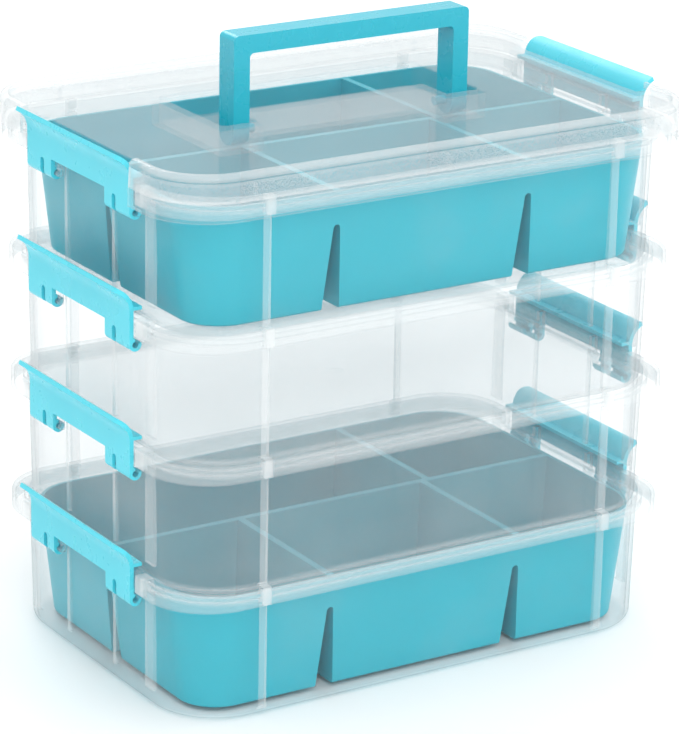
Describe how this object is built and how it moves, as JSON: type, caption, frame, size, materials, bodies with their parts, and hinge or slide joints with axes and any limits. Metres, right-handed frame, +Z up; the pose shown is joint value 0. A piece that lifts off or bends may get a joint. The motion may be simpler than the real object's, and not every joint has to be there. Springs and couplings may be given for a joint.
{
  "type": "stackable_storage_box",
  "caption": "Stackable clear storage box with side latches, a folding carry handle and lift-out teal sorting trays.",
  "frame": {"origin": "centre of the bottom tier's underside, on the surface it stands on", "axes": "+X along the long side, +Y towards the back (the handle folds that way), +Z up; Z is the longest extent and Y the shortest"},
  "size_m": [0.2658, 0.1764, 0.2724],
  "materials": {
    "clear_plastic": "clear polypropylene, slightly milky, smooth",
    "teal_plastic": "opaque teal polypropylene, satin",
    "tray_plastic": "opaque teal polypropylene, fine matt"
  },
  "bodies": {
    "tier_bottom": {"tier_bottom": "clear_plastic"},
    "latch_bottom_left": {"latch_bottom_left": "teal_plastic"},
    "latch_bottom_right": {"latch_bottom_right": "teal_plastic"},
    "tier_lower_middle": {"tier_lower_middle": "clear_plastic"},
    "latch_lower_middle_left": {"latch_lower_middle_left": "teal_plastic"},
    "latch_lower_middle_right": {"latch_lower_middle_right": "teal_plastic"},
    "tier_upper_middle": {"tier_upper_middle": "clear_plastic"},
    "latch_upper_middle_left": {"latch_upper_middle_left": "teal_plastic"},
    "latch_upper_middle_right": {"latch_upper_middle_right": "teal_plastic"},
    "tier_top": {"tier_top": "clear_plastic"},
    "latch_top_left": {"latch_top_left": "teal_plastic"},
    "latch_top_right": {"latch_top_right": "teal_plastic"},
    "lid": {"lid": "clear_plastic"},
    "handle": {"handle": "teal_plastic"},
    "sorting_tray_bottom": {"sorting_tray_bottom": "tray_plastic"},
    "sorting_tray_top": {"sorting_tray_top": "tray_plastic"}
  },
  "joints": [
    {"name": "lower_middle_tier_lift", "type": "slide", "parent": "tier_bottom", "child": "tier_lower_middle", "axis": [0, 0, 1], "range_m": [0, 0.12]},
    {"name": "upper_middle_tier_lift", "type": "slide", "parent": "tier_lower_middle", "child": "tier_upper_middle", "axis": [0, 0, 1], "range_m": [0, 0.12]},
    {"name": "top_tier_lift", "type": "slide", "parent": "tier_upper_middle", "child": "tier_top", "axis": [0, 0, 1], "range_m": [0, 0.12]},
    {"name": "lid_lift", "type": "slide", "parent": "tier_top", "child": "lid", "axis": [0, 0, 1], "range_m": [0, 0.12]},
    {"name": "bottom_tray_lift", "type": "slide", "parent": "tier_bottom", "child": "sorting_tray_bottom", "axis": [0, 0, 1], "range_m": [0, 0.06]},
    {"name": "top_tray_lift", "type": "slide", "parent": "tier_top", "child": "sorting_tray_top", "axis": [0, 0, 1], "range_m": [0, 0.06]},
    {"name": "latch_bottom_left_hinge", "type": "hinge", "parent": "tier_bottom", "child": "latch_bottom_left", "pos_m": [-0.1247, 0, 0.0472], "axis": [0, -1, 0], "range_deg": [0, 105]},
    {"name": "latch_bottom_right_hinge", "type": "hinge", "parent": "tier_bottom", "child": "latch_bottom_right", "pos_m": [0.1247, 0, 0.0472], "axis": [0, 1, 0], "range_deg": [0, 105]},
    {"name": "latch_lower_middle_left_hinge", "type": "hinge", "parent": "tier_lower_middle", "child": "latch_lower_middle_left", "pos_m": [-0.1247, 0, 0.1032], "axis": [0, -1, 0], "range_deg": [0, 105]},
    {"name": "latch_lower_middle_right_hinge", "type": "hinge", "parent": "tier_lower_middle", "child": "latch_lower_middle_right", "pos_m": [0.1247, 0, 0.1032], "axis": [0, 1, 0], "range_deg": [0, 105]},
    {"name": "latch_upper_middle_left_hinge", "type": "hinge", "parent": "tier_upper_middle", "child": "latch_upper_middle_left", "pos_m": [-0.1247, 0, 0.1592], "axis": [0, -1, 0], "range_deg": [0, 105]},
    {"name": "latch_upper_middle_right_hinge", "type": "hinge", "parent": "tier_upper_middle", "child": "latch_upper_middle_right", "pos_m": [0.1247, 0, 0.1592], "axis": [0, 1, 0], "range_deg": [0, 105]},
    {"name": "latch_top_left_hinge", "type": "hinge", "parent": "tier_top", "child": "latch_top_left", "pos_m": [-0.1247, 0, 0.2152], "axis": [0, -1, 0], "range_deg": [0, 105]},
    {"name": "latch_top_right_hinge", "type": "hinge", "parent": "tier_top", "child": "latch_top_right", "pos_m": [0.1247, 0, 0.2152], "axis": [0, 1, 0], "range_deg": [0, 105]},
    {"name": "handle_hinge", "type": "hinge", "parent": "lid", "child": "handle", "pos_m": [0, -0.003, 0.2306], "axis": [-1, 0, 0], "range_deg": [0, 90]}
  ],
  "couplings": [
    {"joint": "bottom_tray_lift", "follows": "lower_middle_tier_lift", "ratio": 0.5},
    {"joint": "top_tray_lift", "follows": "lid_lift", "ratio": 0.5}
  ]
}
